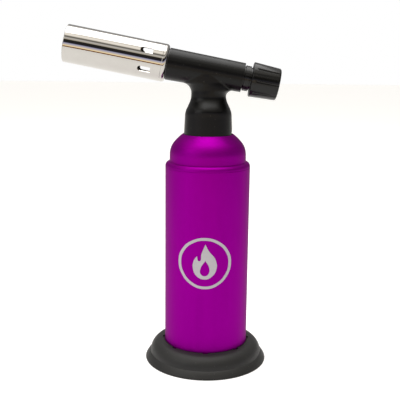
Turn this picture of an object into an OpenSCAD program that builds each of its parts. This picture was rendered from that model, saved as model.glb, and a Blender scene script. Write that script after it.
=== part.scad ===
// Refillable butane torch for lampwork: a gas cylinder on a pull-off foot, a moulded
// head, a plated burner tube with air slots, and one knob that sets and lights the flame.
// Z is up, the burner points towards -X, and the origin is the centre of the foot's underside.

/* [Foot] */
// Radius of the foot on the bench
foot_r = 37.55; // [36:0.05:42]
// Radius where the flat flange meets the dome
crease_r = 34.5; // [33:0.1:35.5]
// Height of that crease
crease_z = 4.4; // [3:0.1:5]
// Height of the dome
foot_h = 12.1; // [11:0.1:14]
// Radius of the opening in the foot's floor
foot_port_r = 17; // [14:0.5:20]

/* [Cylinder] */
// Radius of the aluminium sleeve
sleeve_r = 25.5; // [25:0.1:26]
// Thickness of the sleeve
sleeve_wall = 1; // [0.8:0.1:1.2]
// Height of the top of the shoulder
shoulder_z = 124.5; // [110:0.5:128]
// Rounding of the shoulder
shoulder_round = 2.6; // [2:0.1:3]
// Radius of the upright wall above the shoulder
dome_r = 22.87; // [22:0.05:23.2]
// Lower edge of the sleeve
sleeve_z = 5.2; // [5:0.1:6]

/* [Head] */
// Height of the barrel's axis above the bench
axis_z = 177.3; // [176:0.1:180]
// Tilt of the barrel, nozzle up
pitch = 10.7; // [8:0.1:13]
// Radius of the moulded barrel at the burner end
barrel_front_r = 9.4; // [9.2:0.05:9.8]
// Radius of the moulded barrel at the knob end
barrel_rear_r = 8.6; // [8.4:0.05:9]
// Rise of the knob's axis above the burner's axis
rear_lift = 0.7; // [0.4:0.05:0.9]
// Radius of the moulded skirt over the cylinder
skirt_r = 14.5; // [14.3:0.05:14.6]
// Half width of the neck at its narrowest, seen from the side
waist_r = 10.3; // [10:0.1:11]
// Wall of the mouldings
shell_wall = 2; // [1.6:0.1:2.2]

/* [Burner] */
// Outer radius of the plated burner tube
burner_r = 11.05; // [10.9:0.05:11.5]
// Wall of the burner tube
burner_wall = 0.8; // [0.6:0.05:0.9]
// Length of the burner tube
burner_len = 60.2; // [50:0.1:70]
// Air slots round the tube
air_slots = 6; // [6, 3]
// Width of an air slot
slot_w = 3.4; // [2:0.1:4]

/* [Knob] */
// Largest radius of the knob
knob_r = 10.2; // [9.8:0.1:11]
// Radius of the knob at its back edge
knob_rear_r = 9.4; // [9:0.1:9.8]
// Length of the knob
knob_len = 16.4; // [15:0.1:18]
// Finger grooves round the knob
knob_grooves = 8; // [6:1:12]
// How far the knob pushes in to light the flame
push_travel = 3.8; // [3:0.1:3.9]

/* [Hidden] */
$fn = 64;
barrel_front = 24.4;
barrel_back = -20.3;
barrel_len = barrel_front - barrel_back;
burner_back = 25;
burner_mouth = burner_back + burner_len;
burner_corner = 1.8;
burner_lip = 0.4;
slot_at = 37.3;
slot_len = 7.5;
collar_back = -25.2;
knob_front = collar_back;
knob_back = knob_front - knob_len;
skirt_z = 140.2;
neck_r = 8.9;
waist_z = 163.5;
swell_z = 151.7;
swell_r = 13.9;
foot_bore_r = sleeve_r + 0.3;
foot_floor_z = 4.5;
tank_r = sleeve_r - sleeve_wall - 0.1;
boss_r = 12;
boss_top = 150;
valve_z = 4.8;
stem_r = 1.2;
stem_tip_r = 0.9;
spindle_r = 1.4;
hex_r = 1.6;
needle_bore_r = 2.45;
pipe_r = 1.6;
mix_r = 7.5;
mix_back = 44;
mix_front = 69;
electrode_y = 8.9;
screw_r = 0.85;
seat_barrel = 4.6;
seat_neck = 7.5;
dome_arc = 11.72;
dome_turn = 40.6;
crown_arc = 31.2;
crown_turn = 13.6;
dome_wall_z = shoulder_z + 4.2;
dome_cx = dome_r - dome_arc;
crown_cx = dome_cx + (dome_arc - crown_arc) * cos(dome_turn);
crown_cz = dome_wall_z + (dome_arc - crown_arc) * sin(dome_turn);
piezo_up = 2.6;
piezo_back = -18.3;
piezo_front = -9.5;
plunger_back = -22.3;
belly_drop = atan((barrel_front_r - barrel_rear_r + rear_lift) / barrel_len);
belly_pitch = pitch - belly_drop;
belly_front = barrel_point(-barrel_front_r, 0, barrel_front);

// The barrel's own frame: X is up, Y is across, Z runs along the axis towards the nozzle
module on_barrel(along = 0, up = 0) {
    translate([0, 0, axis_z])
        rotate([0, pitch - 90, 0])
            translate([up, 0, along])
                children();
}

// A point of that frame in the object's own frame
function barrel_point(up, across, along) = [
    up * sin(pitch) - along * cos(pitch),
    across,
    axis_z + up * cos(pitch) + along * sin(pitch)
];

// A round bar from one height to another
module bar(r, from, to) {
    translate([0, 0, from])
        cylinder(r = r, h = to - from);
}

// A ring with a square section
module ring(r_out, r_in, from, to) {
    difference() {
        bar(r_out, from, to);
        bar(r_in, from - 1, to + 1);
    }
}

// An O-ring lying level
module o_ring(centre_r, cord_r) {
    rotate_extrude()
        translate([centre_r, 0])
            circle(r = cord_r);
}

// Points on an arc in the plane, by centre, radius and first and last angle
function arc(cx, cy, r, from, to, steps) = [
    for (i = [0:steps])
        let (a = from + (to - from) * i / steps)
            [cx + r * cos(a), cy + r * sin(a)]
];

// Points on a rounded corner that swells from (r0, z1) out and down to (r1, z0)
function swell(r0, z0, r1, z1, power, steps) = [
    for (i = [0:steps])
        let (a = 90 * i / steps)
            [r0 + (r1 - r0) * pow(sin(a), 2 / power), z0 + (z1 - z0) * pow(cos(a), 2 / power)]
];

// The corners of a cross-section of a wire, square to the direction it runs in
function wire_ring(p, dir, r, sides) =
    let (u = cross([0, 0, 1], dir) / norm(cross([0, 0, 1], dir)))
    let (v = cross(dir, u) / norm(dir))
    [for (i = [0:sides - 1]) p + r * (cos(360 * i / sides) * u + sin(360 * i / sides) * v)];

// A wire swept along a list of points
module wire(route, r, sides) {
    last = len(route) - 1;
    corners = [
        for (k = [0:last])
            let (dir = route[min(k + 1, last)] - route[max(k - 1, 0)])
                each wire_ring(route[k], dir, r, sides)
    ];
    walls = [
        for (k = [0:last - 1], i = [0:sides - 1])
            let (a = k * sides + i, b = k * sides + (i + 1) % sides)
                [a, a + sides, b + sides, b]
    ];
    start = [for (i = [0:sides - 1]) i];
    end = [for (i = [sides - 1:-1:0]) last * sides + i];
    polyhedron(points = corners, faces = concat(walls, [start, end]));
}

// ---- Foot ----

module base_foot() {
    color([0.26, 0.26, 0.25])
    difference() {
        rotate_extrude()
            polygon(concat(
                [[foot_port_r, 2.5], [foot_port_r, foot_floor_z], [foot_bore_r, foot_floor_z],
                 [foot_bore_r, foot_h + 0.3]],
                swell(27.4, crease_z, crease_r, foot_h, 1.9, 10),
                swell(crease_r, 0, foot_r, crease_z, 1.19, 8),
                [[foot_r - 4, 0], [foot_r - 5.2, crease_z], [28.2, foot_h - 3], [28.2, 2.5]]
            ));
        // grip notches in the lip
        for (a = [0:45:315])
            rotate([0, 0, a])
                translate([foot_bore_r - 1, -1.6, foot_h - 0.6])
                    cube([2.2, 3.2, 3]);
    }
    // stiffening ribs under the dome
    color([0.26, 0.26, 0.25])
    for (a = [22.5:45:337.5])
        rotate([0, 0, a])
            translate([27.9, -0.6, 3])
                cube([5.4, 1.2, 3.5]);
}

module base_liner() {
    color([0.12, 0.12, 0.12])
    ring(foot_bore_r, sleeve_r + 0.1, foot_floor_z + 1.5, foot_floor_z + 4.5);
}

// ---- Cylinder ----

// The sleeve's outline at a depth under its surface, from its lower edge to its mouth
function sleeve_outline(depth) = concat(
    [[sleeve_r - depth, sleeve_z]],
    arc(sleeve_r - shoulder_round, shoulder_z - shoulder_round, shoulder_round - depth, 0, 88, 6),
    [[dome_r - depth, shoulder_z - depth]],
    arc(dome_cx, dome_wall_z, dome_arc - depth, 0, dome_turn, 8),
    arc(crown_cx, crown_cz, crown_arc - depth, dome_turn + 2, dome_turn + crown_turn, 4)
);

module tank_sleeve() {
    inner = sleeve_outline(sleeve_wall);
    color([0.55, 0.02, 0.53])
    difference() {
        rotate_extrude()
            polygon(concat(
                sleeve_outline(0),
                [for (i = [len(inner) - 1:-1:0]) inner[i]]
            ));
        // turned line below the shoulder
        rotate_extrude()
            translate([sleeve_r, shoulder_z - shoulder_round - 0.6])
                circle(r = 0.16);
        bar(skirt_r + 0.25, shoulder_z + 8, skirt_z + 6);
    }
}

module fuel_tank() {
    wall = 1.6;
    top = shoulder_z - 3;
    color([0.82, 0.8, 0.74])
    difference() {
        rotate_extrude()
            polygon([
                [0, 8], [tank_r, 8], [tank_r, top - 2], [tank_r - 3, top],
                [dome_r - 2.4, top + 4], [dome_r - 5, top + 12], [boss_r, top + 17],
                [boss_r, boss_top], [0, boss_top]
            ]);
        rotate_extrude()
            polygon([
                [0, 6], [tank_r - wall, 6], [tank_r - wall, top - 2], [tank_r - 3 - wall, top - wall],
                [dome_r - 4, top + 3], [dome_r - 6.6, top + 11], [boss_r - 4, top + 15.5],
                [0, top + 15.5]
            ]);
        bar(2.05, top, boss_top + 1);
        bar(3.35, boss_top - 1.5, boss_top + 1);
    }
}

module tank_bottom_cap() {
    color([0.16, 0.16, 0.16])
    difference() {
        union() {
            bar(tank_r, valve_z, 7.9);
            bar(tank_r - 1.8, 7.9, 12);
        }
        bar(3.9, valve_z - 1, 13);
        bar(5.3, valve_z - 1, valve_z + 1.2);
        bar(tank_r - 4, 7.9, 13);
        for (a = [90:120:330])
            rotate([0, 0, a])
                translate([12, 0, 0]) {
                    bar(0.95, valve_z - 1, 7.6);
                    bar(2.1, valve_z - 1, valve_z + 1.4);
                }
        // moulded ring on the underside
        ring(20, 19, valve_z - 1, valve_z + 0.5);
    }
    color([0.16, 0.16, 0.16])
    ring(7, 3.9, 7.9, 14);
}

module cap_screws() {
    color([0.7, 0.7, 0.68])
    for (a = [90:120:330])
        rotate([0, 0, a])
            translate([12, 0, 0])
                difference() {
                    union() {
                        bar(1.9, valve_z + 0.2, valve_z + 1.4);
                        bar(screw_r, valve_z + 1.4, 7.5);
                    }
                    for (turn = [0, 90])
                        rotate([0, 0, turn])
                            translate([-1.2, -0.25, valve_z])
                                cube([2.4, 0.5, 0.8]);
                }
}

module wick_tube() {
    color([0.9, 0.88, 0.8])
    ring(1.95, 1.1, 16, 134);
}

// ---- Filling valve ----

module fill_valve_body() {
    color([0.79, 0.62, 0.3])
    difference() {
        union() {
            bar(5.2, valve_z - 0.3, valve_z + 1.1);
            bar(3.8, valve_z + 1.1, 15);
        }
        bar(2.4, valve_z - 1, valve_z + 2);
        bar(stem_r + 0.05, valve_z, 8.2);
        bar(2.6, 8.2, 14.2);
        bar(0.7, 14, 16);
    }
}

module fill_valve_stem() {
    color([0.85, 0.68, 0.34])
    union() {
        bar(stem_tip_r, 3.2, 5.6);
        bar(stem_r, 5.6, 9.4);
        bar(2.4, 9.2, 10);
        bar(0.9, 10, 11.6);
    }
}

module fill_valve_spring() {
    turns = 4;
    steps = 48;
    color([0.7, 0.72, 0.74])
    wire([
        for (i = [0:steps])
            let (a = 360 * turns * i / steps)
                [1.8 * cos(a), 1.8 * sin(a), 10.35 + 3.5 * i / steps]
    ], 0.22, 8);
}

module fill_valve_seal() {
    color([0.1, 0.1, 0.1])
    translate([0, 0, 8.75])
        o_ring(1.8, 0.42);
}

// ---- Gas way up the neck ----

module gas_inlet_tube() {
    color([0.8, 0.64, 0.32])
    ring(2, 0.9, 135, 168.4);
}

module inlet_o_ring() {
    color([0.1, 0.1, 0.1])
    translate([0, 0, boss_top - 0.7])
        o_ring(2.65, 0.6);
}

module inlet_nut() {
    color([0.8, 0.64, 0.32])
    difference() {
        translate([0, 0, boss_top])
            cylinder(r = 5.2, h = 3, $fn = 6);
        bar(2.05, boss_top - 1, boss_top + 4);
    }
}

module inlet_filter() {
    color([0.72, 0.6, 0.4])
    bar(1.95, 168.5, 169.3);
}

module valve_body() {
    color([0.8, 0.64, 0.32])
    difference() {
        union() {
            on_barrel(0, rear_lift)
                bar(5.2, -6.5, 12);
            bar(3.4, 164.5, axis_z - 3);
        }
        bar(2.05, 164, 169.4);
        bar(0.9, 169, axis_z + 0.8);
        on_barrel(0, rear_lift) {
            bar(needle_bore_r, -7, -1);
            bar(1.2, -2, 5);
            bar(0.5, 4, 9);
        }
        on_barrel()
            bar(pipe_r + 0.05, 8, 13);
    }
}

module gland_nut() {
    color([0.83, 0.66, 0.35])
    on_barrel(0, rear_lift)
        difference() {
            union() {
                bar(needle_bore_r - 0.05, -6.5, -4.9);
                translate([0, 0, -9])
                    cylinder(r = 3.5, h = 2.5, $fn = 6);
            }
            bar(spindle_r + 0.05, -10, -4);
        }
}

module needle_spindle() {
    color([0.72, 0.73, 0.75])
    on_barrel(0, rear_lift)
        union() {
            bar(spindle_r, -27, -4.1);
            translate([0, 0, -34.5])
                cylinder(r = hex_r, h = 8, $fn = 6);
            difference() {
                bar(needle_bore_r - 0.1, -4.2, -1.2);
                ring(3, 1.5, -3.2, -2.2);
            }
            bar(0.8, -1.3, 3.5);
            translate([0, 0, 3.5])
                cylinder(r1 = 0.8, r2 = 0.25, h = 2.1);
        }
}

module needle_o_ring() {
    color([0.1, 0.1, 0.1])
    on_barrel(-2.7, rear_lift)
        o_ring(1.96, 0.4);
}

// ---- Burner ----

module gas_pipe() {
    color([0.8, 0.64, 0.32])
    on_barrel()
        ring(pipe_r, 0.7, 8.2, 31);
}

module jet() {
    color([0.83, 0.66, 0.35])
    on_barrel()
        difference() {
            union() {
                translate([0, 0, 28.8])
                    cylinder(r = 3, h = 2.6, $fn = 6);
                bar(2.4, 31.3, 33);
                translate([0, 0, 33])
                    cylinder(r1 = 2.4, r2 = 1.2, h = 2);
            }
            bar(pipe_r + 0.05, 28, 31.2);
            bar(0.2, 31, 36);
        }
}

module mixing_tube() {
    color([0.8, 0.8, 0.8])
    on_barrel()
        ring(mix_r, mix_r - 0.5, mix_back, mix_front);
}

module flame_holder() {
    color([0.62, 0.6, 0.57])
    on_barrel()
        difference() {
            bar(mix_r - 0.55, mix_front - 5, mix_front - 1.5);
            bar(1.5, 63, 69);
            for (a = [0:45:315])
                rotate([0, 0, a])
                    translate([4.2, 0, 0])
                        bar(1, 63, 69);
        }
}

module spacer_ring() {
    color([0.7, 0.69, 0.66])
    on_barrel()
        difference() {
            for (at = [mix_back + 1.4, mix_front - 8])
                ring(burner_r - burner_wall - 0.05, mix_r + 0.05, at, at + 1.2);
            // one hole of each ring carries the electrode's ceramic tube
            for (a = [30:60:330])
                rotate([0, 0, a])
                    translate([electrode_y, 0, 0])
                        bar(1.15, mix_back, mix_front);
        }
}

module burner_collar() {
    color([0.08, 0.08, 0.08])
    on_barrel()
        difference() {
            union() {
                bar(8.9, barrel_front, burner_back);
                bar(6.9, 18.5, 30);
            }
            bar(pipe_r + 0.1, 18, 31);
            bar(3.6, 28, 31);
            translate([0, 5.2, 0])
                bar(0.75, 18, 31);
        }
}

module burner_tube() {
    bore = burner_r - burner_wall;
    corner = burner_corner;
    lip = burner_lip;
    color([0.86, 0.85, 0.83])
    on_barrel()
        difference() {
            rotate_extrude()
                polygon(concat(
                    [[7, burner_back]],
                    arc(burner_r - corner, burner_back + corner, corner, -90, 0, 8),
                    arc(burner_r - lip, burner_mouth - lip, lip, 0, 90, 4),
                    [[bore, burner_mouth - 0.2]],
                    arc(burner_r - corner, burner_back + corner, corner - burner_wall, 0, -90, 8),
                    [[7, burner_back + burner_wall]]
                ));
            for (i = [0:air_slots - 1])
                rotate([0, 0, i * 360 / air_slots])
                    translate([8, 0, slot_at]) {
                        // the end towards the mouth is round, the other is square
                        translate([0, 0, slot_len / 2 - slot_w / 2])
                            rotate([0, 90, 0])
                                cylinder(r = slot_w / 2, h = 5);
                        translate([0, -slot_w / 2, -slot_len / 2])
                            cube([5, slot_w, slot_len - slot_w / 2]);
                    }
        }
}

// ---- Ignition ----

module piezo_body() {
    color([0.85, 0.84, 0.8])
    on_barrel()
        difference() {
            translate([piezo_up, -3.1, piezo_back])
                cube([3.9, 6.2, piezo_front - piezo_back]);
            translate([piezo_up + 0.5, -2.5, piezo_back - 1])
                cube([2.9, 5, 7.4]);
        }
}

module piezo_plunger() {
    color([0.15, 0.15, 0.15])
    on_barrel()
        translate([piezo_up + 0.6, -2.4, plunger_back])
            cube([2.7, 4.8, 6.1]);
}

module push_ring() {
    color([0.2, 0.2, 0.2])
    on_barrel(0, rear_lift)
        ring(6, 1.9, -24.2, plunger_back);
}

// The wire runs from the front of the igniter, past the valve and through the burner collar
wire_route = [
    barrel_point(5.2, 0, -9.4),
    barrel_point(5.2, 0, -8.8),
    barrel_point(5, 1.6, -8.2),
    barrel_point(3.6, 5, -7.4),
    barrel_point(2.2, 6.1, -5.4),
    barrel_point(0.8, 6.3, -2),
    barrel_point(0.7, 6.3, 4),
    barrel_point(0.6, 6.2, 10),
    barrel_point(0.2, 5.6, 15),
    barrel_point(0, 5.2, 18),
    barrel_point(0, 5.2, 24),
    barrel_point(0, 5.2, 30.4)
];

module ignition_wire() {
    color([0.75, 0.12, 0.1])
    wire(wire_route, 0.55, 8);
}

module ground_strip() {
    color([0.8, 0.64, 0.32])
    on_barrel()
        union() {
            translate([piezo_up + 0.1, -4.4, -17.5])
                cube([0.9, 1.25, 0.4]);
            translate([piezo_up + 0.1, -4.4, -17.5])
                cube([0.9, 0.3, 10.9]);
        }
}

module electrode_insulator() {
    color([0.93, 0.92, 0.88])
    on_barrel()
        translate([0, electrode_y, 0])
            ring(1.05, 0.5, 33, 66);
}

module electrode() {
    color([0.6, 0.6, 0.6])
    on_barrel()
        union() {
            translate([0, electrode_y, 0])
                bar(0.45, 32.5, 71);
            translate([0, electrode_y, 71])
                sphere(r = 0.45);
            translate([0, electrode_y, 71])
                rotate([70, 0, 0])
                    cylinder(r = 0.45, h = 6);
        }
}

// ---- Head mouldings ----

// Height of the barrel's lowest line at a given X
function belly_z(x) = belly_front[2] - (x - belly_front[0]) * tan(belly_pitch);

// The cone of the barrel, drawn in by a depth
module barrel_cone(depth) {
    flare = (barrel_front_r - barrel_rear_r) / barrel_len;
    intersection() {
        on_barrel(barrel_back, rear_lift)
            rotate([0, -atan(rear_lift / barrel_len), 0])
                translate([0, 0, -1])
                    cylinder(
                        r1 = barrel_rear_r - flare - depth,
                        r2 = barrel_front_r + flare - depth,
                        h = barrel_len + 2
                    );
        on_barrel(barrel_back)
            translate([-20, -20, depth > 0 ? 0.01 : 0])
                cube([40, 40, barrel_len - depth * 1.2]);
    }
}

// The turned neck, from the skirt up into the barrel
module neck_turned(depth) {
    rotate_extrude()
        polygon(concat(
            [[0, skirt_z], [skirt_r - depth, skirt_z]],
            [
                for (i = [0:10])
                    let (t = i / 10)
                        [neck_r + (swell_r - neck_r) * (1 + cos(180 * t)) / 2 - depth,
                         swell_z + (waist_z + 2 - swell_z) * t]
            ],
            [[neck_r - depth, axis_z], [0, axis_z]]
        ));
}

// The webs that fair the neck into the barrel, front and back
module neck_web(depth) {
    front_round = 5.9;
    back_round = 3.4;
    half_depth = 6.4 - depth;
    front_cx = -waist_r - front_round;
    back_cx = waist_r + back_round;
    front_cz = belly_z(front_cx) - front_round / cos(belly_pitch);
    back_cz = belly_z(back_cx) - back_round / cos(belly_pitch);
    tangent = 90 - belly_pitch;
    intersection() {
        translate([0, half_depth, 0])
            rotate([90, 0, 0])
                linear_extrude(height = 2 * half_depth)
                    polygon(concat(
                        [[-waist_r + depth - 1.2, waist_z - 5]],
                        arc(front_cx, front_cz, front_round + depth, 0, tangent, 8),
                        [[0, axis_z]],
                        arc(back_cx, back_cz, back_round + depth, tangent, 180, 8),
                        [[waist_r - depth + 1.2, waist_z - 5]]
                    ));
        union() {
            for (side = [-1, 1])
                translate([side * 10, 0, 150])
                    cylinder(r = half_depth, h = 40);
            translate([-10, -half_depth, 150])
                cube([20, 2 * half_depth, 40]);
        }
    }
}

module head_solid(depth) {
    barrel_cone(depth);
    neck_turned(depth);
    neck_web(depth);
}

// The places of the screws that hold the two mouldings together
module each_barrel_screw() {
    for (place = [[16, 5.6], [16, -5.6], [-14, -4.6]])
        on_barrel(place[0], place[1])
            children();
}

module each_neck_screw() {
    for (side = [-1, 1])
        translate([side * 6, 0, 156.5])
            children();
}

// A bar across the head, between two values of Y
module cross_bar(r, from, to) {
    translate([0, to, 0])
        rotate([90, 0, 0])
            cylinder(r = r, h = to - from);
}

// Both mouldings in one, before they are parted
module head_whole() {
    difference() {
        head_solid(0);
        difference() {
            head_solid(shell_wall);
            each_barrel_screw()
                cross_bar(1.8, -12, 12);
            each_neck_screw()
                cross_bar(1.9, -14, 14);
            // ribs that carry the valve
            for (rib = [-5, 9])
                on_barrel(rib)
                    translate([-12, -12, 0])
                        cube([24, 24, 1.6]);
        }
        // skirt over the cylinder's boss
        bar(boss_r + 0.3, skirt_z - 1, boss_top + 0.5);
        bar(5.4, boss_top, boss_top + 3.5);
        bar(3.5, boss_top, axis_z);
        on_barrel(0, rear_lift)
            bar(5.25, -8, 13);
        // way for the collar, the knob's push ring and the ignition wire
        on_barrel(0, rear_lift)
            bar(7.2, barrel_back - 1, -18.4);
        on_barrel()
            bar(6.95, 18, barrel_front + 1);
        wire(wire_route, 0.75, 8);
    }
}

module head_shell_near() {
    color([0.13, 0.13, 0.13])
    difference() {
        intersection() {
            head_whole();
            translate([-60, -40, 130])
                cube([120, 40, 80]);
        }
        each_barrel_screw()
            cross_bar(screw_r + 0.05, -4.8, 1);
        each_neck_screw()
            cross_bar(screw_r + 0.05, -4.8, 1);
    }
}

module head_shell_far() {
    color([0.13, 0.13, 0.13])
    difference() {
        intersection() {
            head_whole();
            translate([-60, 0, 130])
                cube([120, 40, 80]);
        }
        each_barrel_screw() {
            cross_bar(screw_r + 0.2, -1, 8);
            cross_bar(2.1, seat_barrel, 12);
        }
        each_neck_screw() {
            cross_bar(screw_r + 0.2, -1, 8);
            cross_bar(2.1, seat_neck, 16);
        }
    }
}

module head_screw(seat) {
    difference() {
        union() {
            cross_bar(screw_r, -4.5, seat);
            cross_bar(1.9, seat, seat + 1.3);
        }
        for (turn = [0, 90])
            rotate([0, turn, 0])
                translate([-1.2, seat + 0.6, -0.25])
                    cube([2.4, 1, 0.5]);
    }
}

module head_screws() {
    color([0.35, 0.35, 0.36]) {
        each_barrel_screw()
            head_screw(seat_barrel);
        each_neck_screw()
            head_screw(seat_neck);
    }
}

module rear_collar() {
    collar_r = 7.45;
    color([0.2, 0.2, 0.2])
    on_barrel(0, rear_lift)
        difference() {
            union() {
                bar(6.7, collar_back, barrel_back);
                bar(collar_r, collar_back + 1.1, barrel_back - 0.6);
                bar(7.1, barrel_back - 1, -18.5);
            }
            bar(6.35, -24.4, -18);
            bar(4.9, collar_back - 1, -24);
            // turned lines
            for (line = [-23.5, -22.1])
                translate([0, 0, line])
                    ring(collar_r + 1, collar_r - 0.2, 0, 0.25);
        }
}

// ---- Knob ----

module control_knob() {
    flange = 2.3;
    edge = 1.2;
    skirt_floor = knob_front - push_travel - 1.5;
    lean = atan((knob_r - knob_rear_r) / knob_len);
    color([0.22, 0.22, 0.21])
    on_barrel(0, rear_lift)
        difference() {
            union() {
                rotate_extrude()
                    polygon(concat(
                        [[0, knob_back]],
                        arc(knob_rear_r - edge, knob_back + edge, edge, -90, 0, 6),
                        [[knob_r, knob_front - 0.4], [knob_r - 0.4, knob_front],
                         [8.1, knob_front], [8.1, skirt_floor], [0, skirt_floor]]
                    ));
                bar(4.6, skirt_floor - 0.1, -24.3);
                // index tooth on the front rim
                translate([-0.7, -knob_r + 0.3, knob_front - 0.2])
                    cube([1.4, 1.5, 0.6]);
            }
            for (i = [0:knob_grooves - 1])
                rotate([0, 0, i * 360 / knob_grooves + 88])
                    translate([knob_r + 0.1, 0, knob_front - flange - 0.9])
                        rotate([0, 180 + lean, 0])
                            cylinder(r = 0.75, h = knob_len);
            translate([0, 0, -39.5])
                cylinder(r = hex_r + 0.15, h = 16, $fn = 6);
        }
}

base_foot();
base_liner();
tank_sleeve();
fuel_tank();
tank_bottom_cap();
cap_screws();
wick_tube();
fill_valve_body();
fill_valve_stem();
fill_valve_spring();
fill_valve_seal();
gas_inlet_tube();
inlet_o_ring();
inlet_nut();
inlet_filter();
valve_body();
gland_nut();
needle_spindle();
needle_o_ring();
gas_pipe();
jet();
mixing_tube();
flame_holder();
spacer_ring();
burner_collar();
burner_tube();
piezo_body();
piezo_plunger();
push_ring();
ignition_wire();
ground_strip();
electrode_insulator();
electrode();
head_shell_near();
head_shell_far();
head_screws();
rear_collar();
control_knob();
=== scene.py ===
from math import asin, cos, pi, radians, sin, sqrt, tan

import bpy
from mathutils import Matrix, Vector


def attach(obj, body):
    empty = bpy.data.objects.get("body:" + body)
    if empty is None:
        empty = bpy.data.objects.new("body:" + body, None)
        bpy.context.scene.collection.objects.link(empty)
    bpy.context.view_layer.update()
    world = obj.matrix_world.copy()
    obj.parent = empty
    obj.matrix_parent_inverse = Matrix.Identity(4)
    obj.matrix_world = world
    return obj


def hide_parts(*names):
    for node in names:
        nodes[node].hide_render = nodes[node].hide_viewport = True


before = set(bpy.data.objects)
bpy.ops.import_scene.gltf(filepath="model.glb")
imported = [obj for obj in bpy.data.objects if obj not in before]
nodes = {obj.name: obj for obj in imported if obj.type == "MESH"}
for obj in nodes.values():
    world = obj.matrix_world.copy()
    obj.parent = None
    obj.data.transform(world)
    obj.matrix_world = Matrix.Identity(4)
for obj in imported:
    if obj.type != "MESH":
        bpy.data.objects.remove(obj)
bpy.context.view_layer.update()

# ---------------------------------------------------------------------------
# Studio: a white table in a white tent, seen from a little above the foot.
# One soft lamp stands at the left front and a larger one hangs overhead. The
# tent has a dark opening behind the camera: the dark band in the plated tube.
# ---------------------------------------------------------------------------


def srgb(code):
    """A hex colour as the linear colour that a node's socket takes."""
    parts = [int(code[i : i + 2], 16) / 255 for i in (0, 2, 4)]
    return [p / 12.92 if p <= 0.04045 else ((p + 0.055) / 1.055) ** 2.4 for p in parts] + [1.0]


def add_node(tree, kind, settings=None, links=None):
    """Adds one node. A setting is the node's own if it has one of that name, and else goes to
    the socket of that name or number. A link joins an output to such a socket."""
    node = tree.nodes.new(kind)
    for key, value in (settings or {}).items():
        if isinstance(key, str) and hasattr(node, key):
            setattr(node, key, value)
        else:
            node.inputs[key].default_value = value
    for key, source in (links or {}).items():
        tree.links.new(source, node.inputs[key])
    return node


scene = bpy.context.scene
scene.view_settings.view_transform = "Standard"

camera_place = Vector((0, -0.4345, 0.1895))
camera_lens = 65.57
camera_sensor = 36
camera_turn = 0.58
camera_drop = 11.58
camera_roll = 0.63

bpy.ops.object.camera_add()
camera = bpy.context.object
camera.name = "camera"
camera.data.lens = camera_lens
camera.data.sensor_width = camera_sensor
camera.data.clip_start = 0.01
camera.matrix_world = (
    Matrix.Translation(camera_place)
    @ Matrix.Rotation(radians(camera_turn), 4, "Z")
    @ Matrix.Rotation(radians(90 - camera_drop), 4, "X")
    @ Matrix.Rotation(radians(camera_roll), 4, "Z")
)
scene.camera = camera

floor_half_width = 3.0
floor_front = -0.62
floor_back = 4.0
paper_glow_low = 0.13
paper_glow_seen = 0.37

bpy.ops.object.select_all(action="DESELECT")
bpy.ops.mesh.primitive_plane_add(
    size=1, location=(0, (floor_front + floor_back) / 2, 0)
)
floor = bpy.context.object
floor.name = "floor"
floor.scale = (2 * floor_half_width, floor_back - floor_front, 1)
bpy.ops.object.transform_apply(location=True, rotation=True, scale=True)

# White paper: matt. It glows a little, and more to the camera, so that it reads as white.
paper = bpy.data.materials.new("white_paper")
paper.use_nodes = True
paper_shader = paper.node_tree.nodes["Principled BSDF"]
paper_shader.inputs["Base Color"].default_value = srgb("f4f4f3")
paper_shader.inputs["Roughness"].default_value = 0.9
paper_shader.inputs["Specular IOR Level"].default_value = 0.1
paper_shader.inputs["Emission Color"].default_value = srgb("ffffff")
paper_view = add_node(paper.node_tree, "ShaderNodeLightPath")
paper_glow = add_node(
    paper.node_tree,
    "ShaderNodeMapRange",
    {"To Min": paper_glow_low, "To Max": paper_glow_seen},
    {"Value": paper_view.outputs["Is Camera Ray"]},
)
paper.node_tree.links.new(paper_glow.outputs[0], paper_shader.inputs["Emission Strength"])
floor.data.materials.append(paper)

# How bright the tent is at each height above the table, as (degrees, colour). The bands are
# only on the camera's side; the back of the tent is grey, and white overhead.
tent_front = [
    (-90, "b8b2ac"),
    (-21, "8a8498"),
    (-17, "6a3a08"),
    (-12, "6a3a08"),
    (-9.5, "ffe8b8"),
    (-4, "d0c4b4"),
    (4, "a2a4c2"),
    (9, "201f26"),
    (25, "24221c"),
    (28, "a8a294"),
    (36, "bbb9b8"),
    (41, "6e6a62"),
    (47, "6c6a66"),
    (51, "e1dcd2"),
    (58, "fdf8f0"),
    (66, "e4e0d8"),
    (90, "eeeae2"),
]
tent_back = [(-90, "8c8a8a"), (30, "9a9898"), (60, "f0eeea"), (90, "eeeae2")]

world = bpy.data.worlds.new("white_tent")
scene.world = world
world.use_nodes = True
tent = world.node_tree
tent.nodes.clear()
direction = add_node(tent, "ShaderNodeTexCoord").outputs["Generated"]
axes = add_node(tent, "ShaderNodeSeparateXYZ", links={0: direction})
height = add_node(
    tent,
    "ShaderNodeMath",
    {"operation": "MULTIPLY_ADD", 1: 0.5, 2: 0.5},
    {0: axes.outputs["Z"]},
)
walls = []
for heights in (tent_front, tent_back):
    wall = add_node(tent, "ShaderNodeValToRGB", links={0: height.outputs[0]})
    stops = wall.color_ramp.elements
    while len(stops) < len(heights):
        stops.new(0.5)
    for stop, (angle, code) in zip(stops, heights):
        stop.position = (sin(radians(angle)) + 1) / 2
        stop.color = srgb(code)
    walls.append(wall.outputs["Color"])
toward_back = add_node(
    tent,
    "ShaderNodeMapRange",
    {"interpolation_type": "SMOOTHSTEP", "From Min": -0.15, "From Max": 0.25},
    {"Value": axes.outputs["Y"]},
)
sides = add_node(
    tent,
    "ShaderNodeMix",
    {"data_type": "RGBA"},
    {0: toward_back.outputs[0], 6: walls[0], 7: walls[1]},
)
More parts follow.
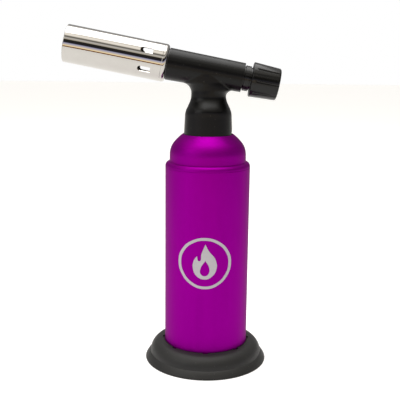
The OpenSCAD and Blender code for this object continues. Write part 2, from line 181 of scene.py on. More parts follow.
# The tent is brightest in front, a little to the left and up, and falls off from there.
toward_bright = add_node(
    tent,
    "ShaderNodeVectorMath",
    {"operation": "DOT_PRODUCT", 1: (-0.3, -0.9, 0.35)},
    {0: direction},
)
falling_off = add_node(
    tent,
    "ShaderNodeMapRange",
    {"From Min": -0.2, "To Min": 1.0, "To Max": 1.75},
    {"Value": toward_bright.outputs["Value"]},
)
reflected = add_node(
    tent,
    "ShaderNodeBackground",
    links={"Color": sides.outputs[2], "Strength": falling_off.outputs[0]},
)
backdrop = add_node(
    tent, "ShaderNodeBackground", {"Color": srgb("ffffff"), "Strength": 1.0}
)
seen = add_node(tent, "ShaderNodeLightPath")
mixed = add_node(
    tent,
    "ShaderNodeMixShader",
    links={
        0: seen.outputs["Is Camera Ray"],
        1: reflected.outputs[0],
        2: backdrop.outputs[0],
    },
)
add_node(tent, "ShaderNodeOutputWorld", links={"Surface": mixed.outputs[0]})

# (name, place, size in metres, watts), both turned to the middle of the torch
torch_middle = Vector((0, 0, 0.1))
lamps = [
    ("lamp_left", (-0.62, -0.42, 0.52), 0.5, 1.1),
    ("lamp_above", (-0.05, 0.14, 1.1), 0.9, 7.6),
]
for name, place, size, watts in lamps:
    bpy.ops.object.light_add(type="AREA", location=place)
    lamp = bpy.context.object
    lamp.name = name
    lamp.data.size = size
    lamp.data.energy = watts
    lamp.visible_camera = False
    aim = torch_middle - Vector(place)
    lamp.rotation_euler = aim.to_track_quat("-Z", "Y").to_euler()

# ---------------------------------------------------------------------------
# Foot: a black moulded rubber-like ring that the cylinder pushes into. It has
# a low dome, a crease, and a thin flange that spreads it on the bench. There
# are eight notches in its lip and eight ribs under the dome.
# ---------------------------------------------------------------------------

mm = 0.001
smooth_below = radians(32)


def arc(cx, cy, r, start, end, steps):
    """Points on an arc of an outline, by its centre, radius, and first and last degree."""
    turns = [radians(start + (end - start) * i / steps) for i in range(steps + 1)]
    return [(cx + r * cos(a), cy + r * sin(a)) for a in turns]


def swell(r0, z0, r1, z1, power, steps):
    """Points on a corner that swells from (r0, z1) out and down to (r1, z0)."""
    turns = [radians(90 * i / steps) for i in range(steps + 1)]
    return [
        (
            r0 + (r1 - r0) * max(sin(a), 0) ** (2 / power),
            z0 + (z1 - z0) * max(cos(a), 0) ** (2 / power),
        )
        for a in turns
    ]


def pick(piece):
    """Leaves this piece as the only one that operators act on."""
    bpy.ops.object.select_all(action="DESELECT")
    piece.select_set(True)
    bpy.context.view_layer.objects.active = piece


def turned(name, outline, sides=96):
    """A piece turned round the upright axis. The outline is (radius, height) in mm, and a
    radius of 0 closes it. Where the outline comes back to its start it is a closed wall."""
    bpy.ops.object.select_all(action="DESELECT")
    r, z = outline[0]
    solid = r == 0
    if solid:
        outline = outline[1:]
        r, z = outline[0]
    bpy.ops.mesh.primitive_circle_add(
        vertices=sides,
        radius=r * mm,
        location=(0, 0, 0),
        fill_type="NGON" if solid else "NOTHING",
    )
    piece = bpy.context.object
    piece.name = name
    piece.data.name = name
    bpy.ops.object.mode_set(mode="EDIT")
    bpy.ops.mesh.select_all(action="SELECT")
    bpy.ops.transform.translate(value=(0, 0, z * mm))
    for next_r, next_z in outline[1:]:
        if next_r == 0:
            bpy.ops.mesh.edge_face_add()
            break
        bpy.ops.mesh.extrude_edges_move(
            TRANSFORM_OT_translate={"value": (0, 0, (next_z - z) * mm)}
        )
        bpy.ops.transform.resize(
            value=(next_r / r, next_r / r, 1), center_override=(0, 0, next_z * mm)
        )
        r, z = next_r, next_z
    bpy.ops.mesh.select_all(action="SELECT")
    bpy.ops.mesh.remove_doubles(threshold=0.002 * mm)
    bpy.ops.mesh.normals_make_consistent(inside=False)
    bpy.ops.object.mode_set(mode="OBJECT")
    return piece


def put(piece, place):
    """Sets the piece at its place, with the place kept in its mesh."""
    pick(piece)
    piece.matrix_world = place @ piece.matrix_world
    bpy.ops.object.transform_apply(location=True, rotation=True, scale=True)


def block(name, low, high):
    """A square block between two corners in mm, as a cutter or the start of a rib."""
    bpy.ops.object.select_all(action="DESELECT")
    centre = [(a + b) / 2 * mm for a, b in zip(low, high)]
    bpy.ops.mesh.primitive_cube_add(size=1, location=centre)
    piece = bpy.context.object
    piece.name = name
    piece.scale = [(b - a) * mm for a, b in zip(low, high)]
    bpy.ops.object.transform_apply(location=True, rotation=True, scale=True)
    return piece


def combine(piece, other, how="DIFFERENCE"):
    """Cuts the other piece from this one, or adds or keeps it, and uses it up."""
    pick(piece)
    change = piece.modifiers.new(how.lower(), "BOOLEAN")
    change.operation = how
    change.solver = "EXACT"
    change.object = other
    bpy.ops.object.modifier_apply(modifier=change.name)
    bpy.data.objects.remove(other)


def join(pieces):
    """One object from several, whose shapes may touch nowhere or overlap."""
    pick(pieces[0])
    for piece in pieces:
        piece.select_set(True)
    bpy.ops.object.join()
    return pieces[0]


def around(piece, count, start=0):
    """Copies of a piece round the upright axis, joined to it."""
    copies = [piece]
    for i in range(1, count):
        copy = piece.copy()
        copy.data = piece.data.copy()
        bpy.context.collection.objects.link(copy)
        copy.matrix_world = Matrix.Rotation(2 * pi * i / count, 4, "Z")
        copies.append(copy)
    whole = join(copies)
    put(whole, Matrix.Rotation(radians(start), 4, "Z"))
    return whole


def smooth(piece, below=smooth_below):
    """Shades the faces smooth, and leaves edges sharper than this as edges."""
    pick(piece)
    bpy.ops.object.shade_smooth_by_angle(angle=below)


def moulded(name, colour, tint, grain_mm, grain_depth_mm, gloss, shine=0.5):
    """Moulded plastic or rubber: a dark body colour, the fine grain of a spark-eroded mould
    as bump, and a clouded gloss where hands have polished it."""
    material = bpy.data.materials.new(name)
    material.use_nodes = True
    tree = material.node_tree
    shader = tree.nodes["Principled BSDF"]
    shader.inputs["IOR"].default_value = 1.5
    shader.inputs["Specular IOR Level"].default_value = shine
    place = add_node(tree, "ShaderNodeTexCoord").outputs["Object"]
    # hand wear and settled dust in clouds about a finger wide
    clouds = add_node(
        tree,
        "ShaderNodeTexNoise",
        {"Scale": 1 / (14 * mm), "Detail": 4.0, "Roughness": 0.6},
        {"Vector": place},
    )
    colours = add_node(
        tree,
        "ShaderNodeMix",
        {"data_type": "RGBA", 6: srgb(colour), 7: srgb(tint)},
        {0: clouds.outputs["Fac"]},
    )
    # specks of dust, each a third of a millimetre
    specks = add_node(
        tree, "ShaderNodeTexVoronoi", {"Scale": 1 / (2.6 * mm)}, {"Vector": place}
    )
    dust = add_node(
        tree,
        "ShaderNodeMapRange",
        {"From Min": 0.05, "From Max": 0.09, "To Min": 0.22, "To Max": 0.0},
        {"Value": specks.outputs["Distance"]},
    )
    dusty = add_node(
        tree,
        "ShaderNodeMix",
        {"data_type": "RGBA", 7: srgb("8c8a84")},
        {0: dust.outputs[0], 6: colours.outputs[2]},
    )
    tree.links.new(dusty.outputs[2], shader.inputs["Base Color"])
    polish = add_node(
        tree,
        "ShaderNodeMapRange",
        {"To Min": gloss - 0.08, "To Max": gloss + 0.08},
        {"Value": clouds.outputs["Fac"]},
    )
    tree.links.new(polish.outputs[0], shader.inputs["Roughness"])
    grain = add_node(
        tree,
        "ShaderNodeTexNoise",
        {"Scale": 1 / (grain_mm * mm), "Detail": 2.0},
        {"Vector": place},
    )
    bump = add_node(
        tree,
        "ShaderNodeBump",
        {"Strength": 1.0, "Distance": grain_depth_mm * mm},
        {"Height": grain.outputs["Fac"]},
    )
    tree.links.new(bump.outputs[0], shader.inputs["Normal"])
    return material


def dress(piece, material, body=None):
    """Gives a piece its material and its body. A CAD node has its body already."""
    piece.data.materials.clear()
    piece.data.materials.append(material)
    if body:
        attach(piece, body)


foot_r = 37.55
crease_r = 34.5
crease_z = 4.4
foot_h = 12.1
foot_port_r = 17
foot_floor = (2.5, 4.5)
socket_r = 25.8
lip_edge = 0.35
lip_r = 27.4
dome_fullness = 1.9
flange_edge = 0.4
flange_fullness = 1.19
flange_width = 5.2
under_lip_r = 28.2
lip_thick = 3
foot_notches = 8
notch_w = 3.2
notch_depth = 0.6
rib_w = 1.2
rib_h = 3.5

base_outline = (
    [(foot_port_r, foot_floor[0]), (foot_port_r, foot_floor[1]), (socket_r, foot_floor[1])]
    + [(socket_r, foot_h)]
    + arc(socket_r + lip_edge, foot_h, lip_edge, 150, 90, 3)
    + swell(lip_r, crease_z, crease_r, foot_h, dome_fullness, 22)
    + swell(crease_r, flange_edge, foot_r, crease_z, flange_fullness, 12)[1:]
    + [(foot_r - 0.1, 0.1), (foot_r - flange_edge, 0), (foot_r - 4, 0)]
    + [(foot_r - flange_width, crease_z), (under_lip_r, foot_h - lip_thick)]
    + [(under_lip_r, foot_floor[0])]
    + [(foot_port_r, foot_floor[0])]
)
base = turned("foot", base_outline, sides=192)
notches = around(
    block(
        "notches",
        (socket_r - 1, -notch_w / 2, foot_h - notch_depth),
        (27.0, notch_w / 2, foot_h + 3),
    ),
    foot_notches,
)
combine(base, notches)
ribs = around(
    block("ribs", (27.9, -rib_w / 2, 3), (33.3, rib_w / 2, 3 + rib_h)),
    foot_notches,
    180 / foot_notches,
)
combine(base, ribs, "UNION")
smooth(base)

# Black thermoplastic rubber with a coarse mould grain. It is nearly matt and goes grey
# where it faces the light.
foot_rubber = moulded("moulded_rubber", "1f1f1e", "292927", 0.5, 0.03, 0.5, 0.42)
dress(base, foot_rubber, "foot")
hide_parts("base_foot")

# The ring in the socket that grips the sleeve: soft black rubber with fine ribs.
liner_rubber = moulded("grip_rubber", "141414", "1e1e1d", 0.3, 0.02, 0.7)
dress(nodes["base_liner"], liner_rubber)

# ---------------------------------------------------------------------------
# Cylinder: a drawn aluminium sleeve over the gas tank, bead blasted and
# anodised purple, with a turned line under its shoulder. Its mouth closes in
# over the tank's dome, under the head's skirt.
# ---------------------------------------------------------------------------

sleeve_r = 25.5
sleeve_wall = 1
sleeve_z = 5.2
shoulder_z = 124.5
shoulder_round = 2.6
dome_r = 22.87
dome_arc = 11.72
dome_turn = 40.6
crown_arc = 31.2
crown_turn = 13.6
dome_cx = dome_r - dome_arc
dome_cz = shoulder_z + 4.2
crown_cx = dome_cx + (dome_arc - crown_arc) * cos(radians(dome_turn))
crown_cz = dome_cz + (dome_arc - crown_arc) * sin(radians(dome_turn))
mouth_r = 14.75
line_z = shoulder_z - shoulder_round - 0.6
line_size = 0.16


def sleeve_skin(depth):
    """The sleeve's outline at a depth under its surface, up to its mouth."""
    points = (
        [(sleeve_r - depth, sleeve_z + 0.3)]
        + [(sleeve_r - depth, z) for z in (30, 60, 90, line_z - line_size)]
        + [(sleeve_r - depth - (line_size if depth == 0 else 0), line_z)]
        + [(sleeve_r - depth, line_z + line_size)]
        + arc(
            sleeve_r - shoulder_round,
            shoulder_z - shoulder_round,
            shoulder_round - depth,
            0,
            84,
            8,
        )
        + [(dome_r - depth + 0.05, shoulder_z - depth + 0.05)]
        + arc(dome_cx, dome_cz, dome_arc - depth, 0, dome_turn, 14)
        + arc(crown_cx, crown_cz, crown_arc - depth, dome_turn + 1, dome_turn + crown_turn, 8)
    )
    return [p for p in points if p[0] > mouth_r]


skin = sleeve_skin(0)
lining = sleeve_skin(sleeve_wall)
sleeve_outline = (
    skin
    + [(mouth_r, skin[-1][1] + 0.05), (mouth_r, lining[-1][1])]
    + lining[::-1]
    + [(sleeve_r - sleeve_wall + 0.1, sleeve_z), (sleeve_r - 0.3, sleeve_z), skin[0]]
)
sleeve = turned("sleeve", sleeve_outline, sides=256)
smooth(sleeve)

# Anodised aluminium: the dye lies in a clear oxide layer, so the metal's own shine is
# coloured. Bead blasting makes it satin.
anodised = bpy.data.materials.new("purple_anodised_aluminium")
anodised.use_nodes = True
tree = anodised.node_tree
shader = tree.nodes["Principled BSDF"]
shader.inputs["Metallic"].default_value = 1.0
# at a low angle the clear oxide greys the dye
shader.inputs["Specular Tint"].default_value = srgb("bbd0af")
place = add_node(tree, "ShaderNodeTexCoord").outputs["Object"]
shade_clouds = add_node(
    tree,
    "ShaderNodeTexNoise",
    {"Scale": 1 / (30 * mm), "Detail": 3.0},
    {"Vector": place},
)
dye = add_node(
    tree,
    "ShaderNodeMix",
    {"data_type": "RGBA", 6: srgb("960092"), 7: srgb("9c0098")},
    {0: shade_clouds.outputs["Fac"]},
)
# handling has burnished it in long upright rubs
rub_map = add_node(
    tree, "ShaderNodeMapping", {"Scale": (1, 1, 0.12)}, {"Vector": place}
)
rubs = add_node(
    tree,
    "ShaderNodeTexNoise",
    {"Scale": 1 / (3 * mm), "Detail": 4.0},
    {"Vector": rub_map.outputs[0]},
)
satin = add_node(
    tree,
    "ShaderNodeMapRange",
    {"To Min": 0.47, "To Max": 0.57},
    {"Value": rubs.outputs["Fac"]},
)
# blast pits are about 0.1 mm; drawn at 0.25 mm so that they show
pits = add_node(
    tree,
    "ShaderNodeTexNoise",
    {"Scale": 1 / (0.25 * mm), "Detail": 1.0},
    {"Vector": place},
)
bump = add_node(
    tree,
    "ShaderNodeBump",
    {"Strength": 1.0, "Distance": 0.006 * mm},
    {"Height": pits.outputs["Fac"]},
)
tree.links.new(dye.outputs[2], shader.inputs["Base Color"])
tree.links.new(satin.outputs[0], shader.inputs["Roughness"])
tree.links.new(bump.outputs[0], shader.inputs["Normal"])
dress(sleeve, anodised, "torch")
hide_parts("tank_sleeve")

# ---------------------------------------------------------------------------
# Badge: a plain flame in a ring, laser etched through the dye, so that the
# bare aluminium shows silver grey. It follows the curve of the sleeve.
# ---------------------------------------------------------------------------

badge_x = -1.0
badge_z = 67.7
badge_proud = 0.04
badge_strip = 1.0
ring_r = 15.5
ring_inner_r = 13.9


def flat_shape(name, outlines):
    """A flat shape in the upright plane in front of the sleeve. Each outline is a closed
    line of (x, z, sharp) in mm from the badge's centre, and one inside another is a hole."""
    bpy.ops.object.select_all(action="DESELECT")
    bpy.ops.curve.primitive_bezier_circle_add(radius=1)
    drawing = bpy.context.object
    drawing.name = name
    drawing.data.dimensions = "2D"
    drawing.data.fill_mode = "BOTH"
    drawing.data.splines.clear()
    for outline in outlines:
        line = drawing.data.splines.new("BEZIER")
        line.use_cyclic_u = True
        line.resolution_u = 10
        line.bezier_points.add(len(outline) - 1)
        for point, (x, z, sharp) in zip(line.bezier_points, outline):
            point.co = (x * mm, z * mm, 0)
            kind = "VECTOR" if sharp else "AUTO"
            point.handle_left_type = kind
            point.handle_right_type = kind
    pick(drawing)
    bpy.ops.object.convert(target="MESH")
    place = Matrix.Translation((badge_x * mm, -(sleeve_r + 4) * mm, badge_z * mm))
    put(drawing, place @ Matrix.Rotation(radians(90), 4, "X"))
    return drawing


def circle_line(r, count=12):
    """A round outline for flat_shape."""
    turns = [2 * pi * i / count for i in range(count)]
    return [(r * cos(a), r * sin(a), False) for a in turns]


flame = [
    (0.3, 11.6, True),
    (2.4, 7.6, False),
    (6.2, 2.6, False),
    (6.9, -3.4, False),
    (3.9, -8.2, False),
    (0, -9.6, False),
    (-4.4, -8.0, False),
    (-6.9, -3.2, False),
    (-6.4, 1.6, False),
    (-4.6, 4.4, True),
    (-3.3, 1.4, False),
    (-1.9, 6.0, False),
]
flame_core = [
    (0.4, 1.8, True),
    (2.7, -2.6, False),
    (2.3, -6.2, False),
    (0, -7.6, False),
    (-2.5, -6.0, False),
    (-2.4, -2.9, False),
]
badge = flat_shape(
    "badge", [circle_line(ring_r), circle_line(ring_inner_r), flame, flame_core]
)

# cut into upright strips, so that each strip can lie against the round sleeve
pick(badge)
bpy.ops.object.mode_set(mode="EDIT")
for i in range(-16, 17):
    bpy.ops.mesh.select_all(action="SELECT")
    bpy.ops.mesh.bisect(
        plane_co=((badge_x + i * badge_strip) * mm, 0, 0), plane_no=(1, 0, 0)
    )
bpy.ops.mesh.select_all(action="SELECT")
bpy.ops.mesh.remove_doubles(threshold=0.002 * mm)
bpy.ops.object.mode_set(mode="OBJECT")
wrap = badge.modifiers.new("wrap", "SHRINKWRAP")
wrap.target = sleeve
wrap.wrap_method = "PROJECT"
wrap.use_project_y = True
wrap.use_project_z = False
wrap.use_positive_direction = True
wrap.use_negative_direction = False
wrap.offset = badge_proud * mm
bpy.ops.object.modifier_apply(modifier=wrap.name)
pick(badge)
bpy.ops.object.mode_set(mode="EDIT")
bpy.ops.mesh.select_all(action="SELECT")
bpy.ops.mesh.normals_make_consistent(inside=False)
bpy.ops.object.mode_set(mode="OBJECT")

# Laser-etched aluminium: a fine frosted grey, a little uneven where the laser's lines meet.
etched = bpy.data.materials.new("laser_etched_aluminium")
etched.use_nodes = True
tree = etched.node_tree
shader = tree.nodes["Principled BSDF"]
shader.inputs["Metallic"].default_value = 0.75
place = add_node(tree, "ShaderNodeTexCoord").outputs["Object"]
etch_lines = add_node(
    tree,
    "ShaderNodeTexWave",
    {"Scale": 1 / (2.5 * mm), "Distortion": 1.5, "bands_direction": "Z"},
    {"Vector": place},
)
frost = add_node(
    tree,
    "ShaderNodeMix",
    {"data_type": "RGBA", 6: srgb("bab6bc"), 7: srgb("cac6ca")},
    {0: etch_lines.outputs["Fac"]},
)
frost_gloss = add_node(
    tree,
    "ShaderNodeMapRange",
    {"To Min": 0.5, "To Max": 0.62},
    {"Value": etch_lines.outputs["Fac"]},
)
frost_bump = add_node(
    tree,
    "ShaderNodeBump",
    {"Strength": 0.6, "Distance": 0.01 * mm},
    {"Height": etch_lines.outputs["Fac"]},
)
tree.links.new(frost.outputs[2], shader.inputs["Base Color"])
tree.links.new(frost_gloss.outputs[0], shader.inputs["Roughness"])
tree.links.new(frost_bump.outputs[0], shader.inputs["Normal"])
dress(badge, etched, "torch")

# ---------------------------------------------------------------------------
# Inside the sleeve: a blow-moulded nylon tank with a wick tube, and a cap that
# three screws hold to its bottom. The cap and its screws show under the foot.
# ---------------------------------------------------------------------------

natural_nylon = moulded("natural_nylon", "c9c4b2", "d6d2c4", 0.6, 0.01, 0.45)
cap_plastic = moulded("black_abs", "181818", "232322", 0.4, 0.012, 0.5)
dress(nodes["fuel_tank"], natural_nylon)
dress(nodes["wick_tube"], natural_nylon)
dress(nodes["tank_bottom_cap"], cap_plastic)


def machined(name, colour, tarnish, gloss, line_mm, direction):
    """Machined or drawn metal: tool lines along or across the given direction, a duller
    tarnish in patches, and a gloss that follows both."""
    material = bpy.data.materials.new(name)
    material.use_nodes = True
    tree = material.node_tree
    shader = tree.nodes["Principled BSDF"]
    shader.inputs["Metallic"].default_value = 1.0
    place = add_node(tree, "ShaderNodeTexCoord").outputs["Object"]
    patches = add_node(
        tree,
        "ShaderNodeTexNoise",
        {"Scale": 1 / (4 * mm), "Detail": 4.0},
        {"Vector": place},
    )
    lines = add_node(
        tree,
        "ShaderNodeTexWave",
        {"Scale": 1 / (7 * line_mm * mm), "Distortion": 2.0, "bands_direction": direction},
        {"Vector": place},
    )
    colours = add_node(
        tree,
        "ShaderNodeMix",
        {"data_type": "RGBA", 6: srgb(colour), 7: srgb(tarnish)},
        {0: patches.outputs["Fac"]},
    )
    polish = add_node(
        tree,
        "ShaderNodeMapRange",
        {"To Min": gloss, "To Max": gloss + 0.18},
        {"Value": patches.outputs["Fac"]},
    )
    bump = add_node(
        tree,
        "ShaderNodeBump",
        {"Strength": 0.5, "Distance": 0.01 * mm},
        {"Height": lines.outputs["Fac"]},
    )
    tree.links.new(colours.outputs[2], shader.inputs["Base Color"])
    tree.links.new(polish.outputs[0], shader.inputs["Roughness"])
    tree.links.new(bump.outputs[0], shader.inputs["Normal"])
    return material


# Zinc-plated steel screws: cool silver grey with turned heads.
zinc = machined("zinc_plated_steel", "b9babb", "a3a39c", 0.28, 0.2, "Z")
dress(nodes["cap_screws"], zinc)

# ---------------------------------------------------------------------------
# Filling valve, in the middle of the cap: a turned brass body and stem, a
# spring of drawn steel wire, and a black rubber seal.
# ---------------------------------------------------------------------------

# Turned brass: yellow, bright on the tool lines and brown where it is tarnished.
brass = machined("turned_brass", "cfa75a", "a9803c", 0.22, 0.25, "Z")
spring_wire = machined("spring_steel", "a5a7aa", "8d8d8c", 0.25, 0.15, "Z")
seal_rubber = moulded("nitrile_rubber", "101010", "191918", 0.2, 0.006, 0.55)
dress(nodes["fill_valve_body"], brass)
dress(nodes["fill_valve_stem"], brass)
dress(nodes["fill_valve_spring"], spring_wire)
dress(nodes["fill_valve_seal"], seal_rubber)

# ---------------------------------------------------------------------------
# Gas way up the neck: a brass tube from the wick, its O-ring and nut on the
# tank's boss, and a sintered bronze filter before the valve.
# ---------------------------------------------------------------------------

dress(nodes["gas_inlet_tube"], brass)
dress(nodes["inlet_o_ring"], seal_rubber)
dress(nodes["inlet_nut"], brass)
bronze = machined("sintered_bronze", "a07a45", "7d5c34", 0.55, 0.3, "X")
dress(nodes["inlet_filter"], bronze)

# ---------------------------------------------------------------------------
# Head: two black nylon mouldings that meet on the middle plane, a barrel and
# a neck faired into each other. Five screws hold them from the far side.
# ---------------------------------------------------------------------------

axis_z = 177.3
pitch = 10.7
rear_lift = 0.7
barrel_front = 24.4
barrel_back = -20.3
barrel_front_r = 9.4
barrel_rear_r = 8.6
skirt_z = 140.2
skirt_r = 14.5
swell_z = 151.7
swell_r = 13.9
ledge_z = 154.0
waist_depth = 8.9
waist_depth_z = 163.0
waist_width = 10.3
waist_width_z = 163.5
front_round = 5.9
rear_round = 3.4
spare = 3.0
barrel_len = barrel_front - barrel_back


def on_barrel(along=0, up=0):
    """The place of the barrel's own frame: X is up, Z runs along the axis to the nozzle."""
    return (
        Matrix.Translation((0, 0, axis_z * mm))
        @ Matrix.Rotation(radians(pitch - 90), 4, "Y")
        @ Matrix.Translation((up * mm, 0, along * mm))
    )


def ease(low, high, start, end, z):
    """A half wave from one value at the start height to another at the end height."""
    t = min(max((z - start) / (end - start), 0), 1)
    return low + (high - low) * (1 - cos(pi * t)) / 2


# the barrel's lowest line, which the fillets under it run into
belly_pitch = radians(8.78)
belly_front_x = 25.72
belly_front_z = 172.59
belly_z = belly_front_z - belly_front_x * tan(belly_pitch)


def fillet_reach(z, round_r, side):
    """How far the neck reaches forward or back at a height, with its fillet under the barrel."""
    centre_x = waist_width + round_r
    centre_z = belly_z - side * centre_x * tan(belly_pitch) - round_r / cos(belly_pitch)
    rise = min(max((z - centre_z) / round_r, 0), cos(belly_pitch))
    return centre_x - round_r * sqrt(1 - rise * rise)


taper = (barrel_front_r - barrel_rear_r) / barrel_len
barrel = turned(
    "barrel",
    [
        (0, -spare),
        (barrel_rear_r - taper * spare, -spare),
        (barrel_front_r + taper * spare, barrel_len + spare),
        (0, barrel_len + spare),
    ],
    sides=128,
)
put(
    barrel,
    on_barrel(barrel_back, rear_lift)
    @ Matrix.Rotation(-asin(rear_lift / barrel_len), 4, "Y"),
)

neck_step = 0.6
neck_steps = 40
neck_levels = [swell_z + neck_step * i for i in range(1, neck_steps + 1)]
neck_outline = [(0, skirt_z - spare), (skirt_r + 0.1, skirt_z - spare)]
neck_outline += [(skirt_r, skirt_z), (swell_r, swell_z)]
neck_outline += [
    (ease(swell_r, waist_depth, ledge_z, waist_depth_z, z), z) for z in neck_levels
]
neck_outline += [(0, neck_levels[-1])]
neck = turned("neck", neck_outline, sides=128)
bpy.ops.object.mode_set(mode="EDIT")
for r, z in neck_outline:
    if z <= swell_z or r == 0:
        continue
    wide = ease(swell_r, waist_width, swell_z, waist_width_z, z)
    ahead, behind = wide, wide
    if z > waist_width_z:
        ahead = fillet_reach(z, front_round, -1)
        behind = fillet_reach(z, rear_round, 1)
    bpy.ops.mesh.select_all(action="DESELECT")
    bpy.ops.object.mode_set(mode="OBJECT")
    for v in neck.data.vertices:
        v.select = abs(v.co.z - z * mm) < 0.1 * mm
    bpy.ops.object.mode_set(mode="EDIT")
    bpy.ops.transform.resize(
        value=((ahead + behind) / 2 / r, 1, 1), center_override=(0, 0, z * mm)
    )
    bpy.ops.transform.translate(value=((behind - ahead) / 2 * mm, 0, 0))
bpy.ops.object.mode_set(mode="OBJECT")

# one skin over both, its creases rounded as they are in the mould
combine(barrel, neck, "UNION")
head = barrel
head.name = "head"
pick(head)
skin_size = 0.35
skin_softening = 8
remesh = head.modifiers.new("skin", "REMESH")
remesh.mode = "VOXEL"
remesh.voxel_size = skin_size * mm
bpy.ops.object.modifier_apply(modifier=remesh.name)
soften = head.modifiers.new("soften", "SMOOTH")
soften.factor = 0.5
soften.iterations = skin_softening
bpy.ops.object.modifier_apply(modifier=soften.name)

# trimmed to length, and hollowed for the boss, the valve, the igniter and both collars
combine(head, block("under", (-30, -30, skirt_z - 20), (30, 30, skirt_z)))
for low, high in ((barrel_front, 60), (-60, barrel_back)):
    end = block("end", (-40, -40, low), (40, 40, high))
    put(end, on_barrel())
    combine(head, end)
boss_r, boss_top = 12.3, 150.5
nut_r, nut_top = 5.4, 153.5
inlet_r = 4.5
neck_hollow = [(0, skirt_z - 1), (boss_r, skirt_z - 1), (boss_r, boss_top), (nut_r, boss_top)]
neck_hollow += [(nut_r, nut_top), (inlet_r, nut_top), (inlet_r, axis_z), (0, axis_z)]
combine(head, turned("neck_hollow", neck_hollow))
rear_seat_r, rear_seat = 7.2, -18.4
barrel_bore_r = 5.6
front_seat_r, front_seat = 6.95, 18
barrel_hollow = [(0, -30), (rear_seat_r, -30), (rear_seat_r, rear_seat)]
barrel_hollow += [(barrel_bore_r, rear_seat), (barrel_bore_r, front_seat)]
barrel_hollow += [(front_seat_r, front_seat), (front_seat_r, 30), (0, 30)]
hollow = turned("barrel_hollow", barrel_hollow)
put(hollow, on_barrel(0, rear_lift / 2))
combine(head, hollow)
igniter_room = block("igniter_room", (2.4, -3.3, -19), (6.7, 3.3, -9))
put(igniter_room, on_barrel())
combine(head, igniter_room)

screw_seat_r = 2.1
barrel_seat = 4.6
neck_seat = 7.5
barrel_screws = ((16, 5.6), (16, -5.6), (-14, -4.6))
neck_screws = ((-6, 156.5), (6, 156.5))
screw_bores = []
for along, up in barrel_screws:
    place = on_barrel(along, up).translation
    screw_bores.append((place.x, place.z, barrel_seat * mm))
for x, z in neck_screws:
    screw_bores.append((x * mm, z * mm, neck_seat * mm))
for x, z, seat in screw_bores:
    bore = turned(
        "bore", [(0, 0), (screw_seat_r, 0), (screw_seat_r, 12), (0, 12)], sides=48
    )
    put(bore, Matrix.Translation((x, seat, z)) @ Matrix.Rotation(radians(-90), 4, "X"))
    combine(head, bore)

parting = 0.05
far = head.copy()
far.data = head.data.copy()
bpy.context.collection.objects.link(far)
combine(head, block("near_half", (-60, -40, 120), (60, -parting, 220)), "INTERSECT")
combine(far, block("far_half", (-60, parting, 120), (60, 40, 220)), "INTERSECT")

# Glass-filled nylon: near black, satin, with a soft grey sheen along the top.
head_nylon = moulded("glass_filled_nylon", "060606", "0b0b0a", 0.3, 0.006, 0.31, 0.22)
for half, name, node in (
    (head, "head_near", "head_shell_near"),
    (far, "head_far", "head_shell_far"),
):
    half.name = name
    half.data.name = name
    smooth(half)
    dress(half, head_nylon, "torch")
    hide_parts(node)

# Blackened steel screws with a cross recess.
black_steel = machined("blackened_steel", "4a4a4c", "38383a", 0.35, 0.2, "Y")
dress(nodes["head_screws"], black_steel)

# ---------------------------------------------------------------------------
# Needle valve across the top of the neck: brass body and gland nut, and a
# stainless spindle that the knob turns.
# ---------------------------------------------------------------------------

stainless = machined("stainless_steel", "b4b2ae", "9c9a94", 0.22, 0.2, "X")
dress(nodes["valve_body"], brass)
dress(nodes["gland_nut"], brass)
dress(nodes["needle_spindle"], stainless)
dress(nodes["needle_o_ring"], seal_rubber)

# ---------------------------------------------------------------------------
# Burner tube: a drawn steel tube with six air slots punched round its back
# end, polished and chromium plated. A black collar sets it off the barrel.
# ---------------------------------------------------------------------------

burner_r = 11.05
burner_wall = 0.8
burner_back = 25.0
burner_mouth = 85.2
corner_r = 1.8
mouth_edge = 0.4
seam_at = 27.7
seam_w = 0.3
seam_depth = 0.1
rear_hole_r = 7
slot_count = 6
slot_at = 37.3
slot_len = 7.5
slot_w = 3.4

bore_r = burner_r - burner_wall
corner_cx = burner_r - corner_r
corner_cz = burner_back + corner_r
slot_stations = [slot_at + 0.5 * i for i in range(-10, 11)]
tube_outline = (
    [(rear_hole_r, burner_back), (corner_cx - 0.6, burner_back)]
    + arc(corner_cx, corner_cz, corner_r, -90, 0, 16)
    + [(burner_r, seam_at - seam_w / 2), (burner_r - seam_depth, seam_at)]
    + [(burner_r, seam_at + seam_w / 2)]
    + [(burner_r, z) for z in slot_stations]
    + [(burner_r, z) for z in (50, 58, 66, 74)]
    + arc(burner_r - mouth_edge, burner_mouth - mouth_edge, mouth_edge, 0, 90, 6)
    + [(bore_r + 0.1, burner_mouth), (bore_r, burner_mouth - 0.1)]
    + [(bore_r, z) for z in (74, 66, 58, 50)]
    + [(bore_r, z) for z in slot_stations[::-1]]
    + arc(corner_cx, corner_cz, corner_r - burner_wall, 0, -90, 8)
    + [(rear_hole_r, burner_back + burner_wall), (rear_hole_r, burner_back)]
)
tube = turned("burner_tube_plated", tube_outline, sides=192)
half_w = slot_w / 2
square_end = slot_at - slot_len / 2
round_end = slot_at + slot_len / 2 - half_w
slot = block("slot", (8, -half_w, square_end), (13, half_w, round_end))
nose = turned("nose", [(0, 8), (half_w, 8), (half_w, 13), (0, 13)], sides=32)
put(
    nose,
    Matrix.Translation((0, 0, round_end * mm)) @ Matrix.Rotation(radians(90), 4, "Y"),
)
combine(slot, nose, "UNION")
combine(tube, around(slot, slot_count))
put(tube, on_barrel())
smooth(tube)

